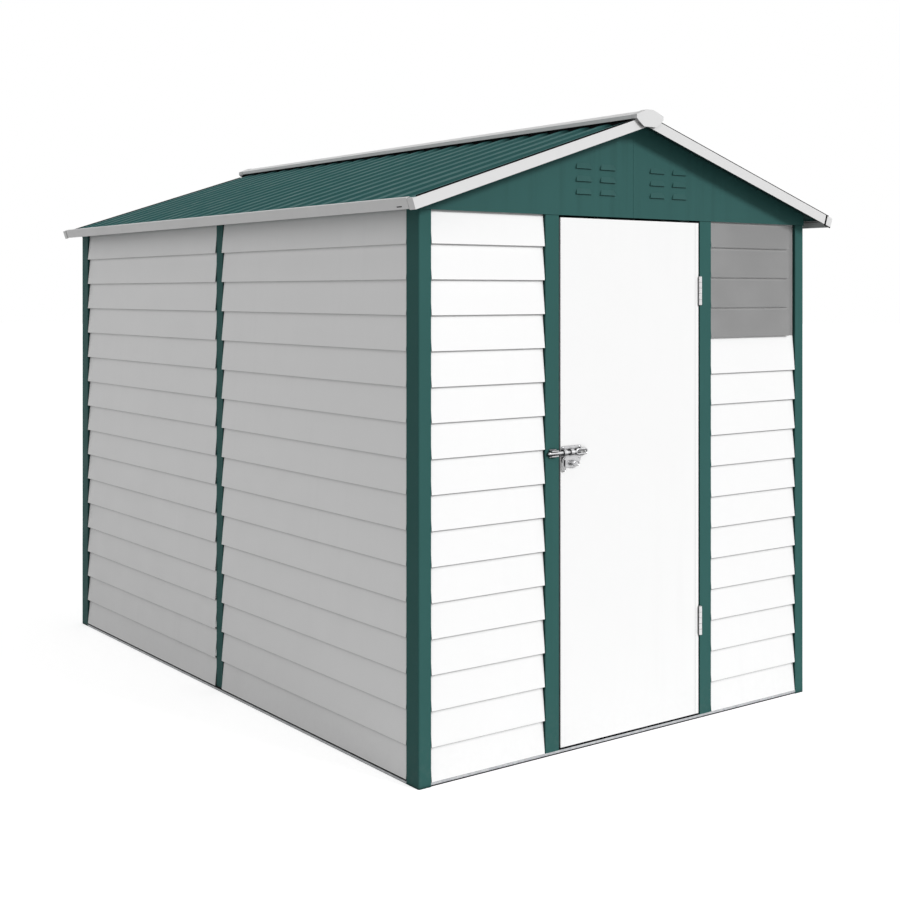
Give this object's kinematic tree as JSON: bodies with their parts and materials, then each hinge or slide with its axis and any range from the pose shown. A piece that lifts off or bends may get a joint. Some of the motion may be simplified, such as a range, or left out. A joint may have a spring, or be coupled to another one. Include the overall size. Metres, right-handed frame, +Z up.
{
  "type": "metal garden shed",
  "caption": "Metal garden shed with lapped siding, a ribbed gable roof, a hinged door with a sliding bolt, and a fixed side window panel.",
  "frame": {"origin": "on the ground at the middle of the shed's plan", "axes": "+X to the right along the front wall as seen from outside, -Y out of the front wall with the door, +Z up"},
  "size_m": [1.7542, 2.555, 1.9307],
  "materials": {
    "frame_paint": "satin dark green powder coat",
    "roof_paint": "satin dark green coil coat",
    "panel_paint": "satin white coil coat",
    "trim_paint": "satin off-white powder coat",
    "galvanised": "galvanised sheet",
    "hardware": "bright zinc plate",
    "window_sheet": "clear tinted plastic sheet",
    "black_seal": "matt black foam and rubber sealing strip"
  },
  "bodies": {
    "shed": {"base_rail_front": "galvanised", "base_rail_back": "galvanised", "base_rail_left": "galvanised", "base_rail_right": "galvanised", "corner_post_front_left": "frame_paint", "corner_post_front_right": "frame_paint", "corner_post_back_left": "frame_paint", "corner_post_back_right": "frame_paint", "side_post_left": "frame_paint", "side_post_right": "frame_paint", "back_post": "frame_paint", "door_jamb_left": "frame_paint", "door_jamb_right": "frame_paint", "siding_front_left": "panel_paint", "siding_front_right": "panel_paint", "siding_left_front": "panel_paint", "siding_left_back": "panel_paint", "siding_right_front": "panel_paint", "siding_right_back": "panel_paint", "siding_back_left": "panel_paint", "siding_back_right": "panel_paint", "window_panel": "window_sheet", "top_rail_front": "frame_paint", "top_rail_back": "frame_paint", "top_rail_left": "frame_paint", "top_rail_right": "frame_paint", "gable_front": "frame_paint", "gable_back": "frame_paint", "ridge_beam": "frame_paint", "roof_purlins": "frame_paint", "roof_sheet_left": "roof_paint", "roof_sheet_right": "roof_paint", "eave_trim_left": "trim_paint", "eave_trim_right": "trim_paint", "gable_trim_front_left": "trim_paint", "gable_trim_front_right": "trim_paint", "gable_trim_back_left": "trim_paint", "gable_trim_back_right": "trim_paint", "ridge_cap": "trim_paint", "ridge_cap_ends": "trim_paint", "hinge_frame_leaves": "hardware", "latch_keep": "hardware"},
    "door": {"door_leaf": "panel_paint", "hinge_door_leaves": "hardware", "latch_plate": "hardware"},
    "bolt": {"latch_bolt": "hardware"}
  },
  "joints": [
    {"name": "door_hinge", "type": "hinge", "parent": "shed", "child": "door", "pos_m": [0.296, -1.2205, 0.845], "axis": [0, 0, 1], "range_deg": [0, 110]},
    {"name": "bolt_slide", "type": "slide", "parent": "door", "child": "bolt", "axis": [1, 0, 0], "range_m": [0, 0.054]}
  ]
}
